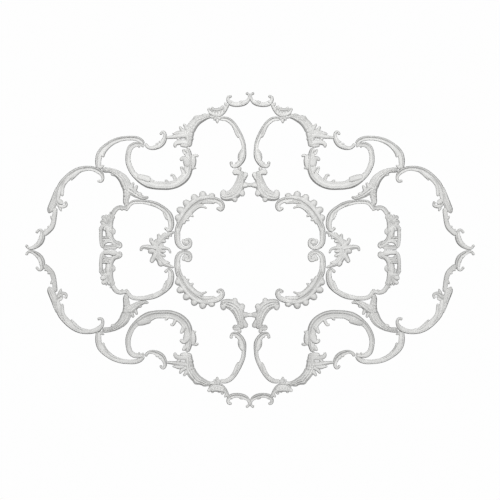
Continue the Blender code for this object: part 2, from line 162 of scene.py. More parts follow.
def carved_band_tree():
    """Nodes that skin rows of section places with a section, moulded or domed."""
    tree = bpy.data.node_groups.new("carved_band", "GeometryNodeTree")
    add_sockets(tree, "INPUT", (("Geometry", "Geometry"), ("Columns", "Int", 18),
                                ("Relief", "Float", RELIEF), ("Strands", "Float", 0.0),
                                ("Strand depth", "Float", 0.0),
                                ("Notch depth", "Float", 0.5), ("Plaster", "Material")))
    add_sockets(tree, "OUTPUT", (("Geometry", "Geometry"),))
    given = tree.nodes.new("NodeGroupInput").outputs
    columns = given["Columns"]

    def math_node(operation, *values, clamp=False):
        return add_node(tree, "ShaderNodeMath", enumerate(values), operation=operation,
                        use_clamp=clamp).outputs[0]

    def plus(one, other):
        return math_node("ADD", one, other)

    def minus(one, other):
        return math_node("SUBTRACT", one, other)

    def times(one, other, clamp=False):
        return math_node("MULTIPLY", one, other, clamp=clamp)

    # A flat grid with one row for each row of the guide. Its last column closes the back.
    rows = add_node(tree, "GeometryNodeAttributeDomainSize",
                    {"Geometry": given["Geometry"]}).outputs["Point Count"]
    grid = add_node(tree, "GeometryNodeMeshGrid",
                    {"Vertices X": plus(columns, 2.0), "Vertices Y": rows})
    position = tree.nodes.new("GeometryNodeInputPosition")
    split = add_node(tree, "ShaderNodeSeparateXYZ", {0: position.outputs[0]}).outputs
    column = math_node("ROUND", times(plus(split[0], 0.5), plus(columns, 1.0)))
    row = math_node("ROUND", times(plus(split[1], 0.5), minus(rows, 1.0)))
    in_front = math_node("LESS_THAN", column, plus(columns, 0.5))
    turn = times(math_node("DIVIDE", column, columns), math.pi)
    share = minus(0.5, times(math_node("COSINE", turn), 0.5))
    share = times(share, in_front, clamp=True)

    def row_value(name, kind="FLOAT"):
        """The attribute of that name on this point's row of the guide."""
        read = add_node(tree, "GeometryNodeInputNamedAttribute", {"Name": name},
                        data_type=kind)
        return add_node(tree, "GeometryNodeSampleIndex", {
            "Geometry": given["Geometry"], "Value": read.outputs["Attribute"],
            "Index": row}, data_type=kind).outputs["Value"]

    def profile(points):
        """The value of a profile at this point's share of the width."""
        curve = add_node(tree, "ShaderNodeFloatCurve", {"Value": share})
        marks = curve.mapping.curves[0].points
        while len(marks) < len(points):
            marks.new(0.5, 0.5)
        for mark, place in zip(marks, points):
            mark.location = place
        curve.mapping.update()
        return curve.outputs["Value"]

    moulded = row_value("moulded")
    domed = minus(1.0, moulded)

    def by_section(when_moulded, when_domed):
        """One profile for the moulded share of the band and the other for the rest."""
        return plus(times(profile(when_moulded), moulded),
                    times(profile(when_domed), domed))

    height = by_section(MOULDED, DOMED)
    # Painted shade across the section: dark on the steep walls, in the quirk and at the
    # edges.
    painted_shade = by_section(MOULDED_SHADE, DOMED_SHADE)
    wave = math_node("COSINE", times(times(share, given["Strands"]), 2 * math.pi))
    wave = times(times(wave, by_section(BESIDE_BEAD, WHOLE_WIDTH)), given["Strand depth"])
    height = plus(height, wave)
    # Grooves between strands are painted darker and crests lighter, as painted shade.
    painted_shade = minus(painted_shade, times(wave, STRAND_SHADE))
    # The cuts beside a lobe are painted darker, as painted shade.
    for name, reach in (("notch_near", BEAD_SIDE), ("notch_far", FAR_SIDE)):
        cut = times(times(profile(reach), row_value(name)), given["Notch depth"])
        height = times(height, minus(1.0, cut))
        painted_shade = plus(painted_shade, cut)
    height = times(math_node("MAXIMUM", height, 0.0), in_front)
    drop = times(times(height, row_value("rise")), times(given["Relief"], -1.0))

    across = add_node(tree, "ShaderNodeMix", {
        "Factor": share, "A": row_value("near", "FLOAT_VECTOR"),
        "B": row_value("far", "FLOAT_VECTOR")}, data_type="VECTOR")
    down = add_node(tree, "ShaderNodeCombineXYZ", {"Z": drop})
    lowered = add_node(tree, "ShaderNodeVectorMath", {
        0: across.outputs["Result"], 1: down.outputs[0]}, operation="ADD")
    # The painted shade is stored on the points for the plaster's colour; the back gets none.
    stored = add_node(tree, "GeometryNodeStoreNamedAttribute", {
        "Geometry": grid.outputs["Mesh"], "Name": "painted_shade",
        "Value": times(painted_shade, in_front, clamp=True)}, data_type="FLOAT", domain="POINT")
    shaped = add_node(tree, "GeometryNodeSetPosition", {
        "Geometry": stored.outputs[0], "Position": lowered.outputs[0]})
    closed = add_node(tree, "GeometryNodeMergeByDistance", {
        "Geometry": shaped.outputs[0], "Distance": MERGE_WITHIN})
    real = add_node(tree, "GeometryNodeRealizeInstances", {"Geometry": closed.outputs[0]})
    painted = add_node(tree, "GeometryNodeSetMaterial", {
        "Geometry": real.outputs[0], "Material": given["Plaster"]})
    add_node(tree, "NodeGroupOutput", {"Geometry": painted.outputs[0]})
    return tree


band_tree = carved_band_tree()


def band(points, bead="left", lobes=(), strands=0.0, strand_depth=0.0, columns=18,
         beaded=1.0):
    """A band along points of x, y, width and, where it stands higher or lower, lift. It
    is moulded by the share beaded and domed for the rest, and its bead is on its left or
    right. A lobe is the place of its tip and the length of its base."""
    return {"points": points, "bead": bead, "lobes": lobes, "beaded": beaded,
            "inputs": {"Columns": columns, "Strands": strands,
                       "Strand depth": strand_depth}}


# Points of a button, as shares of its radius along and across, and their lift.
BUTTON = ((-0.6, 0.8, 1.1), (0.1, 1.1, 1.5), (0.9, 0.9, 1.4))


def button(x, y, radius, heading):
    """Points that round off a hook in a raised button, entered on a heading."""
    turned = math.radians(heading)
    along_x, along_y = radius * math.cos(turned), radius * math.sin(turned)
    return [(x + along * along_x, y + along * along_y, 2 * share * radius, lift)
            for along, share, lift in BUTTON]


# Points of a leaf, as shares of its length and its width.
LEAF = ((0.0, 0.6), (0.25, 0.9), (0.5, 1.0), (0.78, 0.66), (1.0, 0.2))


def leaf(root, tip, width, bend=0.0):
    """A pointed leaf from root to tip, bent to the left by a share of its length."""
    (root_x, root_y), (tip_x, tip_y) = root, tip
    run_x, run_y = tip_x - root_x, tip_y - root_y
    points = []
    for along, share in LEAF:
        side = bend * math.sin(math.pi * along)
        points.append((root_x + along * run_x - side * run_y,
                       root_y + along * run_y + side * run_x, share * width))
    return band(points)


# Points drawn between two stations of a band, and the least distance between stations.
CURVE_STEPS = 24
LEAST_CHORD = 1e-3


def between(one, other, low, high, at):
    """The point at a value from low, where one is, to high, where the other is."""
    return ((high - at) * one + (at - low) * other) / (high - low)


def smooth_path(points):
    """A centripetal curve through the points, in columns of x, y, width and lift."""
    stations = np.array([tuple(point) + (1.0,) * (4 - len(point)) for point in points],
                        float)
    stations = np.vstack([2 * stations[0] - stations[1], stations,
                          2 * stations[-1] - stations[-2]])
    samples = []
    for before, start, end, after in zip(stations, stations[1:], stations[2:],
                                         stations[3:]):
        chords = [np.hypot(*(far - near)[:2])
                  for near, far in ((before, start), (start, end), (end, after))]
        knots = np.cumsum([0.0] + [max(chord, LEAST_CHORD) ** 0.5 for chord in chords])
        for at in np.linspace(knots[1], knots[2], CURVE_STEPS, endpoint=False):
            inward = between(before, start, knots[0], knots[1], at)
            middle = between(start, end, knots[1], knots[2], at)
            outward = between(end, after, knots[2], knots[3], at)
            early = between(inward, middle, knots[0], knots[2], at)
            late = between(middle, outward, knots[1], knots[3], at)
            samples.append(between(early, late, knots[1], knots[2], at))
    samples.append(stations[-2])
    return np.array(samples)


def softened(values, passes):
    """The values with their kinks rounded off, ends kept."""
    values = values.copy()
    for _ in range(passes):
        values[1:-1] = 0.25 * values[:-2] + 0.5 * values[1:-1] + 0.25 * values[2:]
    return values


# A row lies every five millimetres. A band of 60 has the full rise, and a narrow one
# less. One up to 20 wide is a plain dome, and from 36 on the moulding is complete.
ROW_STEP = 5.0
LEAST_ROWS = 8
FULL_BAND = 60.0
LEAST_RISE = 0.35
DOMED_UP_TO = 20.0
MOULDED_FROM = 36.0
END_RISE = 0.15

# A lobe swells over its base with rounded shoulders, and a cut on either side of it
# runs into the band while its own middle stands a little proud.
SHOULDER = 1.4
CUT_WIDTH = 6.0
PROUD = 0.35
PROUD_WIDTH = 7.0
CUT_RANGE = (-0.4, 1.0)


def band_rows(drawn):
    """A band's rows: its two edges, its rise, its moulded share and the lobes' cuts."""
    path = smooth_path(drawn["points"])
    run = np.concatenate([[0], np.cumsum(np.hypot(*np.diff(path[:, :2], axis=0).T))])
    count = max(int(run[-1] / ROW_STEP), LEAST_ROWS) + 1
    along = np.linspace(0, run[-1], count)
    path = np.stack([np.interp(along, run, path[:, i]) for i in range(4)], axis=1)
    centre, width, lift = path[:, :2], path[:, 2], path[:, 3]
    ahead = np.gradient(centre, axis=0)
    ahead /= np.linalg.norm(ahead, axis=1)[:, None]
    left = np.stack([-ahead[:, 1], ahead[:, 0]], axis=1)
    edges = [centre + 0.5 * width[:, None] * left, centre - 0.5 * width[:, None] * left]
    notches = [np.zeros(count), np.zeros(count)]
    for x, y, base in drawn["lobes"]:
        tip = np.array((x, y), float)
        at = int(np.argmin(np.linalg.norm(centre - tip, axis=1)))
        side = int(np.dot(tip - centre[at], left[at]) < 0)
        share = np.clip(1 - np.abs(along - along[at]) / (base / 2), 0, 1)
        share = np.sin(0.5 * math.pi * share) ** SHOULDER
        reach = tip - edges[side][at]
        edges[side] = edges[side] + share[:, None] * reach
        for foot in (along[at] - base / 2, along[at] + base / 2):
            notches[side] += np.exp(-((along - foot) / CUT_WIDTH) ** 2)
        notches[side] -= PROUD * np.exp(-((along - along[at]) / PROUD_WIDTH) ** 2)
    edges = [softened(edge, 2) for edge in edges]
    notches = [softened(np.clip(cut, *CUT_RANGE), 1) for cut in notches]
    rise = lift * np.clip((width / FULL_BAND) ** 0.5, LEAST_RISE, 1.0)
    moulded = np.clip((width - DOMED_UP_TO) / (MOULDED_FROM - DOMED_UP_TO), 0, 1)
    moulded = drawn["beaded"] * moulded * moulded * (3 - 2 * moulded)

    middle = 0.5 * (edges[0] + edges[1])
    for from_end, end_width in ((along, width[0]), (along[-1] - along, width[-1])):
        round_over = max(0.5 * end_width, ROW_STEP)
        share = np.clip(from_end / round_over, 0, 1)
        share = np.sqrt(1 - (1 - share) ** 2)
        edges = [middle + share[:, None] * (edge - middle) for edge in edges]
        rise = rise * (END_RISE + (1 - END_RISE) * share) * (share > 0)
    if drawn["bead"] == "right":
        edges, notches = edges[::-1], notches[::-1]
    return edges, rise, moulded, notches


# The castings are drawn in millimetres.
MM = 0.001


def band_mesh(drawn, plaster):
    """One band as a plain closed mesh, made by the carved_band nodes."""
    edges, rise, moulded, notches = band_rows(drawn)
    count = len(rise)
    guide = bpy.data.meshes.new("guide")
    guide.from_pydata([(0, 0, 0)] * count, [], [])
    for name, values in (("near", edges[0]), ("far", edges[1])):
        flat = np.zeros((count, 3))
        flat[:, :2] = values * MM
        guide.attributes.new(name, "FLOAT_VECTOR", "POINT").data.foreach_set(
            "vector", flat.ravel())
    for name, values in (("rise", rise), ("moulded", moulded),
                         ("notch_near", notches[0]), ("notch_far", notches[1])):
        guide.attributes.new(name, "FLOAT", "POINT").data.foreach_set("value", values)
    holder = bpy.data.objects.new("guide", guide)
    scene.collection.objects.link(holder)
    skin = holder.modifiers.new("carved_band", "NODES")
    skin.node_group = band_tree
    settings = dict(drawn["inputs"], Plaster=plaster)
    for item in band_tree.interface.items_tree:
        if item.in_out == "INPUT" and item.name in settings:
            skin[item.identifier] = settings[item.name]
    graph = bpy.context.evaluated_depsgraph_get()
    mesh = bpy.data.meshes.new_from_object(holder.evaluated_get(graph))
    bpy.data.objects.remove(holder, do_unlink=True)
    bpy.data.meshes.remove(guide)
    return mesh


# Half the filled joint between two castings that meet, and what keeps the backs of a
# casting's bands off one plane, both in metres.
HALF_JOINT = 0.00015
BACK_STEP = 0.00004


def casting(name, bands, plaster, places, stops=None, beaded=1.0):
    """Joins the bands of a casting, stops them at zero on one axis where they meet
    their mirror image, and sets a mirrored copy in each of the casting's places."""
    joined = bmesh.new()
    for order, drawn in enumerate(bands):
        mesh = band_mesh(dict(drawn, beaded=beaded * drawn["beaded"]), plaster)
        mesh.transform(Matrix.Translation((0, 0, -order * BACK_STEP)))
        joined.from_mesh(mesh)
        bpy.data.meshes.remove(mesh)
    bmesh.ops.recalc_face_normals(joined, faces=joined.faces)
    if stops:
        axis = "xy".index(stops)
        for vert in joined.verts:
            vert.co[axis] = max(vert.co[axis], HALF_JOINT)
    for suffix, (side_x, side_y) in places.items():
        mesh = bpy.data.meshes.new(f"{name}_{suffix}_cast")
        joined.to_mesh(mesh)
        mesh.materials.append(plaster)
        for vert in mesh.vertices:
            vert.co.x *= side_x
            vert.co.y *= side_y
        if side_x * side_y < 0:
            mesh.flip_normals()
        for face in mesh.polygons:
            face.use_smooth = True
        piece = bpy.data.objects.new(mesh.name, mesh)
        scene.collection.objects.link(piece)
        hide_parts(f"{name}_{suffix}")
        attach(piece, "root")
    joined.free()


quarters = {"ne": (1, 1), "nw": (-1, 1), "se": (1, -1), "sw": (-1, -1)}

casting("tip_scroll", [
    band(button(1704, 143, 12, 305)[::-1]
         + [(1687, 161, 22), (1668, 154, 26), (1661, 130, 38), (1662, 105, 48),
            (1669, 80, 50), (1682, 57, 48), (1703, 37, 42), (1728, 21, 34),
            (1752, 13, 26), (1771, 15, 22)]
         + button(1786, 33, 12, 75), bead="right"),
    leaf((1676, 106), (1690, 74), 18), leaf((1690, 62), (1709, 52), 20)],
        scroll_plaster, quarters, stops="y")

# The top scrolls, a pair of small C scrolls at each end of the short axis. They are
# plaster bands with a button at both ends, cast like the tip scrolls. The pair meets
# back to back on the axis, where the joint is filled.

casting("top_scroll", [
    band(button(24, 1252, 12, 20)[::-1]
         + [(8, 1240, 20), (7, 1217, 21), (18, 1194, 30), (44, 1176, 40), (82, 1164, 38),
            (120, 1163, 38), (150, 1171, 40), (170, 1187, 32), (177, 1208, 26),
            (171, 1227, 24)]
         + button(157, 1227, 13, 200), bead="right"),
    leaf((90, 1174), (50, 1192), 26), leaf((160, 1180), (140, 1192), 22)],
        scroll_plaster, quarters, stops="x")

# The corner scrolls, the great C scroll at each outer corner. Each is one plaster
# casting: a hooked band with raised leaves along its inner side, and a fluted end that
# flares out beside the side stem. It is bedded on the ceiling like all the others.

casting("corner_scroll", [
    band(button(1210, 552, 12, 20)[::-1]
         + [(1192, 547, 24), (1178, 566, 24), (1180, 592, 28), (1194, 617, 38),
            (1220, 636, 42), (1255, 650, 38), (1292, 654, 38), (1330, 650, 44),
            (1365, 641, 48), (1400, 624, 52), (1438, 597, 54), (1476, 561, 54),
            (1509, 519, 56), (1529, 475, 52), (1539, 430, 44), (1541, 395, 38),
            (1530, 362, 34), (1508, 348, 30), (1487, 347, 25), (1469, 358, 25)]
         + button(1474, 379, 12, 60)),
    band([(1325, 640, 14), (1365, 624, 22), (1400, 594, 24), (1432, 556, 12, 1.1)]),
    band([(1440, 596, 22), (1478, 548, 30), (1500, 495, 30), (1503, 455, 28),
          (1501, 428, 16, 1.1)]),
    band([(1540, 505, 22), (1556, 450, 38), (1569, 395, 54), (1586, 345, 60),
          (1608, 304, 48)], lobes=[(1629, 292, 26)], strands=4, strand_depth=0.2,
         beaded=0.2, columns=24),
    leaf((1538, 400), (1494, 366), 44), leaf((1528, 362), (1509, 308), 28)],
        scroll_plaster, quarters)

# The crescent scrolls, a slim plaster band with a raised leaf along its inner side. Each
# is cast in one piece and bedded between a corner scroll and a bridge scroll.

casting("crescent_scroll", [
    band([(1212, 650, 34), (1214, 685, 46), (1213, 725, 50), (1203, 768, 50),
          (1178, 804, 48), (1140, 837, 44), (1100, 863, 42), (1060, 880, 40),
          (1020, 890, 38), (970, 895, 36), (920, 893, 38), (883, 881, 38),
          (862, 864, 34), (850, 846, 26)], bead="right"),
    band([(1030, 876, 12), (1090, 853, 20), (1130, 826, 26), (1160, 794, 30),
          (1175, 765, 30), (1173, 740, 18, 1.1)], bead="right"),
    leaf((1196, 644), (1165, 676), 30, bend=-0.2)], scroll_plaster, quarters)

# The kidney scrolls, a broad plaster band bent round almost to a ring. Small acanthus
# leaves curl off its inner and outer side, cast in one piece with it.

casting("kidney_scroll", [
    band([(850, 842, 24), (885, 845, 34), (925, 842, 42), (957, 818, 44), (971, 780, 42),
          (976, 740, 42), (973, 700, 44), (958, 657, 44), (937, 618, 44), (905, 585, 50),
          (862, 556, 66), (810, 534, 80), (760, 517, 66), (710, 514, 66), (650, 514, 66),
          (600, 525, 66), (552, 552, 70), (515, 592, 74), (496, 640, 72), (488, 690, 66),
          (489, 740, 58), (497, 785, 50), (505, 818, 34)], strands=2, strand_depth=0.08,
         lobes=[(850, 596, 30)]),
    leaf((862, 842), (853, 820), 20), leaf((888, 842), (887, 816), 20),
    band([(498, 660, 60), (506, 708, 62), (526, 732, 46), (545, 729, 32),
          (555, 712, 24, 1.3)], beaded=0.3),
    band([(515, 600, 50), (532, 634, 40), (546, 654, 28), (556, 668, 16, 1.2)]),
    band([(590, 548, 30), (606, 582, 26), (620, 603, 22), (637, 591, 16, 1.3)]),
    leaf((655, 535), (680, 563), 28), band([(505, 765, 50), (524, 788, 34), (540, 806, 16)]),
    band([(466, 640, 30), (457, 685, 50), (455, 730, 50), (462, 764, 26)], beaded=0.3),
    band([(905, 590, 36), (866, 580, 50), (826, 568, 52), (802, 562, 48), (788, 561, 40)],
         beaded=0.3),
    band([(462, 735, 30), (446, 752, 28), (428, 757, 24), (413, 745, 20, 1.2)]),
    leaf((466, 668), (430, 650), 28)], scroll_plaster, quarters)

# The bridge scrolls, a short hooked band of plaster. Each is bedded where a kidney
# scroll, a crescent scroll and a side leaf of the upper acanthus come together.

casting("bridge_scroll", [
    band(button(712, 930, 12, 290)[::-1]
         + [(700, 947, 22), (684, 938, 24), (679, 912, 30), (685, 884, 40), (700, 858, 46),
            (722, 838, 46), (750, 823, 40), (780, 815, 32), (808, 818, 26),
            (826, 832, 26), (838, 852, 30)], bead="right"),
    leaf((705, 860), (731, 868), 24), leaf((725, 845), (757, 847), 26)],
        scroll_plaster, quarters)

# The pear scrolls, a long C-shaped band of plaster on either side of the short axis.
# Each is bedded between a shell spray and the winged shell, and ends there in a button.

casting("pear_scroll", [
    band([(240, 1048, 30), (200, 1050, 36), (165, 1036, 40), (130, 1002, 40),
          (98, 954, 38), (72, 904, 36), (54, 856, 34), (49, 815, 34), (50, 780, 42),
          (58, 742, 52), (74, 708, 48), (97, 682, 42), (124, 669, 34), (146, 677, 26)]
         + button(150, 698, 13, 100), bead="right"),
    band([(150, 1010, 14), (120, 968, 26), (103, 928, 28), (90, 897, 18, 1.1)],
         bead="right"),
    band([(58, 808, 16), (76, 768, 34), (80, 735, 36), (84, 705, 16)]),
    leaf((105, 685), (116, 704), 18)], scroll_plaster, quarters)

# The inner panel scrolls, a loop of plaster that frames the inner panel. Each starts at
# the head of a trellis column and ends in a button beside the palmette.

casting("inner_panel_scroll", [
    band([(985, 322, 26), (975, 348, 32), (957, 370, 34), (932, 383, 34), (900, 387, 34),
          (850, 385, 34), (800, 377, 42), (750, 362, 44), (706, 338, 42), (669, 307, 48),
          (645, 270, 58), (632, 230, 50), (630, 195, 46), (637, 168, 38), (655, 156, 28)]
         + button(673, 173, 13, 60), bead="right"),
    band([(800, 372, 14), (770, 360, 24), (750, 350, 12)]),
    band([(700, 330, 14), (682, 296, 30), (668, 262, 28), (664, 240, 14, 1.1)],
         bead="right")], scroll_plaster, quarters)

# The side stems, a bent stem with three small leaves. Each is one plaster casting,
# bedded between a tip scroll and the flared end of a corner scroll.

# This plaster's hollows are darkened by painted shade as well.
branch_plaster = shaded_plaster("branch_plaster", painted_shade_in_hollows=0.29)

casting("side_stem", [
    band([(1648, 116, 28), (1630, 138, 42), (1608, 158, 44), (1585, 184, 42),
          (1572, 220, 40), (1565, 260, 38), (1560, 300, 38), (1556, 338, 34)],
         strands=2, strand_depth=0.04),
    leaf((1592, 172), (1620, 192), 26), leaf((1618, 146), (1645, 167), 24),
    leaf((1572, 240), (1596, 274), 26)], branch_plaster, quarters, beaded=0.5)

# The upper acanthus, a leaf branch from a shell spray to a kidney scroll. It is one
# plaster casting, fluted along the vein, with smaller leaves curling off one side.

casting("upper_acanthus", [
    band([(310, 1070, 30), (345, 1067, 46), (385, 1052, 60), (425, 1030, 72),
          (458, 994, 78), (480, 950, 80), (488, 900, 68), (487, 860, 54), (486, 822, 36)],
         bead="right", strands=4, strand_depth=0.2, columns=30,
         lobes=[(368, 1093, 40), (440, 1075, 50), (446, 940, 30), (448, 886, 20)]),
    band([(490, 950, 44), (514, 984, 30), (533, 1009, 16, 1.2)]),
    band([(505, 930, 50), (543, 958, 34), (563, 990, 16, 1.2)]),
    band([(515, 915, 50), (565, 936, 38), (600, 931, 24), (621, 931, 14, 1.2)]),
    band([(495, 922, 56), (550, 915, 48), (600, 906, 34), (640, 901, 26),
          (672, 898, 22)], bead="right", strands=2, strand_depth=0.1),
    band([(486, 858, 52), (520, 860, 46), (560, 862, 42), (590, 852, 36),
          (602, 834, 28), (590, 822, 20, 1.3)], bead="right"),
    band([(492, 832, 36), (530, 836, 32), (560, 836, 20)]),
    band([(556, 872, 22), (570, 886, 26), (586, 898, 22)])], branch_plaster, quarters,
        beaded=0.25)

# The inner acanthus, a leaf branch from a corner scroll down to a trellis column. It is
# cast in one piece like the upper one, and its side leaves spread towards the middle.

casting("inner_acanthus", [
    band([(1182, 641, 44), (1150, 640, 44), (1122, 637, 40), (1085, 623, 50), (1045, 597, 64),
          (1012, 563, 78), (990, 515, 82), (983, 470, 68), (987, 430, 54), (993, 390, 46),
          (986, 350, 30)], strands=4, strand_depth=0.2, columns=30,
         lobes=[(1020, 488, 36), (1015, 440, 30), (1015, 378, 30)]),
    band([(1020, 580, 40), (1060, 600, 36), (1090, 604, 28), (1115, 605, 14, 1.1)]),
    band([(985, 495, 56), (950, 475, 66), (920, 452, 58), (885, 430, 44),
          (845, 416, 32), (811, 424, 16, 1.1)], bead="right", strands=3,
         strand_depth=0.24, lobes=[(843, 400, 26)]),
    band([(962, 480, 50), (947, 510, 34), (930, 541, 18, 1.2)]),
    band([(940, 460, 50), (916, 490, 32), (902, 519, 16, 1.2)]),
    band([(922, 446, 40), (888, 449, 28), (863, 451, 18, 1.2)])],
        branch_plaster, quarters, beaded=0.25)

# The shell sprays, a fan of five ribs behind a curved rim, with a tuft of three leaves
# below it. Each is a plaster casting that joins an upper acanthus to a pear scroll.


def rib(root, tip, at_root, midway, at_tip, beaded=1.0):
    """A straight band from root to tip, with its width and any lift at three points."""
    middle = tuple(0.5 * (one + other) for one, other in zip(root, tip))
    return band([root + at_root, middle + midway, tip + at_tip], beaded=beaded)


fan = [rib(root, tip, (30,), (34,), (20, 1.1))
       for root, tip in (((216, 1096), (223, 1158)), ((238, 1086), (252, 1143)),
                         ((262, 1082), (277, 1132)), ((284, 1084), (304, 1145)),
                         ((300, 1092), (338, 1134)))]
tuft = [leaf((262, 1074), tip, width) for tip, width in (
    ((237, 1037), 28), ((262, 1012), 34), ((291, 1035), 28))]
casting("shell_spray", fan + tuft + [
    band([(204, 1128, 30), (230, 1110, 56), (262, 1102, 64), (295, 1106, 56),
          (326, 1114, 34)]),
    band([(172, 1178, 26), (188, 1142, 30), (210, 1106, 32), (238, 1082, 32),
          (275, 1078, 32), (305, 1092, 32), (330, 1106, 26)], bead="right"),
    leaf((184, 1150), (204, 1180), 26),
    band([(278, 1064, 24), (304, 1064, 26), (330, 1068, 24)])], branch_plaster, quarters)

# The winged shells on the short axis, between the pear scrolls and the open middle.
# Each is one plaster casting of two fluted wings, alike but mirrored, and the bar that
# ties them together.

short_axis_ends = {"n": (1, 1), "s": (1, -1)}


def mirrored(drawn):
    """The same band on the other side of the short axis."""
    other = dict(drawn)
    other["points"] = [(-x, y) + tuple(shape) for x, y, *shape in drawn["points"]]
    other["lobes"] = [(-x, y, base) for x, y, base in drawn["lobes"]]
    other["bead"] = {"left": "right", "right": "left"}[drawn["bead"]]
    return other


wing = [
    band([(74, 634, 40), (69, 600, 58), (74, 560, 70), (85, 520, 82), (100, 480, 96),
          (134, 446, 92), (176, 430, 78), (208, 426, 62), (236, 436, 30)],
         bead="right", strands=4, strand_depth=0.24, columns=30),
    band([(70, 612, 50), (100, 622, 46), (126, 620, 46), (141, 618, 30)], bead="right",
         beaded=2.0),
    band([(86, 632, 30), (84, 650, 32), (84, 668, 26)]),
    band([(60, 556, 50), (46, 588, 44), (28, 610, 40), (20, 616, 32, 1.1)]),
    band([(84, 490, 60), (66, 456, 50), (56, 428, 40)]),
    band([(132, 440, 60), (122, 406, 46), (117, 382, 28)]),
    band([(186, 420, 60), (212, 440, 56), (210, 464, 46), (198, 478, 30)]),
    leaf((136, 446), (154, 490), 40), band([(66, 516, 54), (34, 519, 44), (8, 519, 34)])]
casting("centre_rocaille", wing + [mirrored(drawn) for drawn in wing]
        + [band([(-26, 519, 34), (0, 519, 30), (26, 519, 34)])],
        branch_plaster, short_axis_ends, beaded=0.3)

# The palmettes, a spray of leaves on the long axis. Each is one plaster casting on a
# fluted heart, with leaves of unlike length above and below the axis.

long_axis_ends = {"e": (1, 1), "w": (-1, 1)}

casting("palmette", [
    band([(738, 92, 52, 0.75), (737, 60, 86, 0.75), (742, 20, 102, 0.75),
          (746, -14, 92, 0.75), (740, -46, 66, 0.75), (722, -76, 58, 0.75),
          (712, -106, 54, 0.75)], strands=4, strand_depth=0.2, columns=34),
    band([(738, 30, 40), (724, 66, 54), (702, 94, 50), (672, 113, 44), (642, 130, 32),
          (606, 147, 20)], strands=2, strand_depth=0.15),
    leaf((704, 104), (676, 142), 28), leaf((668, 112), (651, 86), 28),
    leaf((642, 126), (626, 106), 22),
    band([(712, 78, 34), (688, 70, 30), (671, 67, 24, 1.2)]),
    band([(736, 40, 34), (728, 84, 36), (730, 112, 28), (733, 131, 24, 1.3)]),
    band([(742, 20, 40), (768, 50, 42), (791, 74, 32), (788, 98, 32, 1.3)]),
    band([(735, 2, 50), (770, 14, 54), (806, 20, 44), (840, 24, 34), (864, 19, 28),
          (872, 2, 24), (870, -10, 22, 1.2)], strands=2, strand_depth=0.15),
    band([(755, -2, 50), (790, -8, 46), (812, -25, 28)]),
    band([(732, 8, 36), (702, 16, 32), (675, 14, 26), (650, 6, 20), (640, -12, 18),
          (635, -28, 14)], bead="right"),
    band([(720, -6, 30), (696, -11, 28), (674, -12, 24, 1.1)]),
    band([(738, -30, 36), (710, -36, 30), (690, -44, 28), (677, -56, 24, 1.3)],
         bead="right"),
    band([(728, -62, 50), (702, -92, 50), (678, -112, 40), (648, -127, 30),
          (608, -141, 16)], strands=2, strand_depth=0.15),
    leaf((698, -96), (638, -104), 30),
    band([(724, -72, 50), (714, -110, 50), (718, -134, 36)]),
    band([(742, -22, 50), (764, -52, 46), (782, -82, 38), (790, -104, 32, 1.3)])],
        branch_plaster, long_axis_ends, beaded=0.15)

# The cockscomb scrolls round the open middle, in plaster. Each has a grooved band with
# a comb of rounded teeth outside it, leaves inside it, a hook at the top, and a rolled
# volute where it meets its mirror image on the long axis.

teeth = [rib(root, tip, (56, 0.7), (60, 0.85), (38, 0.75), beaded=0.0)
         for root, tip in (((304, 410), (311, 457)), ((371, 410), (384, 473)),
                           ((430, 386), (457, 446)), ((480, 348), (532, 395)),
                           ((518, 300), (586, 333)), ((548, 246), (600, 268)))]
casting("cockscomb_scroll", teeth + [
    band([(276, 414, 32), (350, 420, 38), (418, 405, 42), (479, 366, 44), (519, 318, 44),
          (551, 270, 42), (580, 212, 28)], beaded=0.0),
    band(button(255, 333, 15, 40)[::-1]
         + [(241, 321, 33), (226, 331, 38), (221, 352, 41), (231, 376, 42),
            (257, 394, 44), (300, 404, 46), (345, 403, 44), (392, 392, 32)]),
    band([(330, 408, 24), (360, 403, 36), (394, 394, 42), (435, 370, 46), (474, 336, 48),
          (512, 290, 50), (544, 242, 50), (567, 196, 50), (580, 150, 46), (582, 110, 30)],
         strands=1, strand_depth=0.55, beaded=0.1, columns=24),
    band([(576, 180, 24), (580, 145, 46), (582, 100, 46), (578, 60, 44), (560, 31, 40),
          (535, 17, 32), (506, 18, 32), (482, 32, 30), (474, 57, 26), (484, 82, 26),
          (504, 86, 20), (520, 75, 20), (518, 58, 22), (503, 56, 24, 1.3)], beaded=0.8),
    band([(545, 80, 20, 0.5), (515, 62, 56, 0.5), (490, 50, 40, 0.5)], beaded=0.0),
    band([(345, 334, 14, 1.1), (385, 349, 20), (425, 338, 26), (465, 306, 30),
          (502, 262, 28), (534, 208, 14)], bead="right"),
    band([(372, 364, 16, 0.8), (420, 352, 36, 0.8), (470, 314, 44, 0.8),
          (508, 268, 42, 0.8), (540, 206, 30, 0.8)], beaded=0.0),
    leaf((484, 288), (450, 265), 26), leaf((514, 250), (484, 234), 26),
    band([(280, 376, 18), (310, 382, 26), (350, 383, 26), (390, 374, 16)])],
        branch_plaster, quarters, stops="y")

# The trellis columns on either side, a pierced garland of two stiles, leafy crossings
# and small blossoms, with a scrolled head and a curled foot. Each is cast in one piece
# of plaster. It is pierced so finely that its hollows are painted with more shade than
# the others.

# Its hollows get the most painted shade of all.
garland_plaster = shaded_plaster("garland_plaster", painted_shade_in_hollows=0.5)

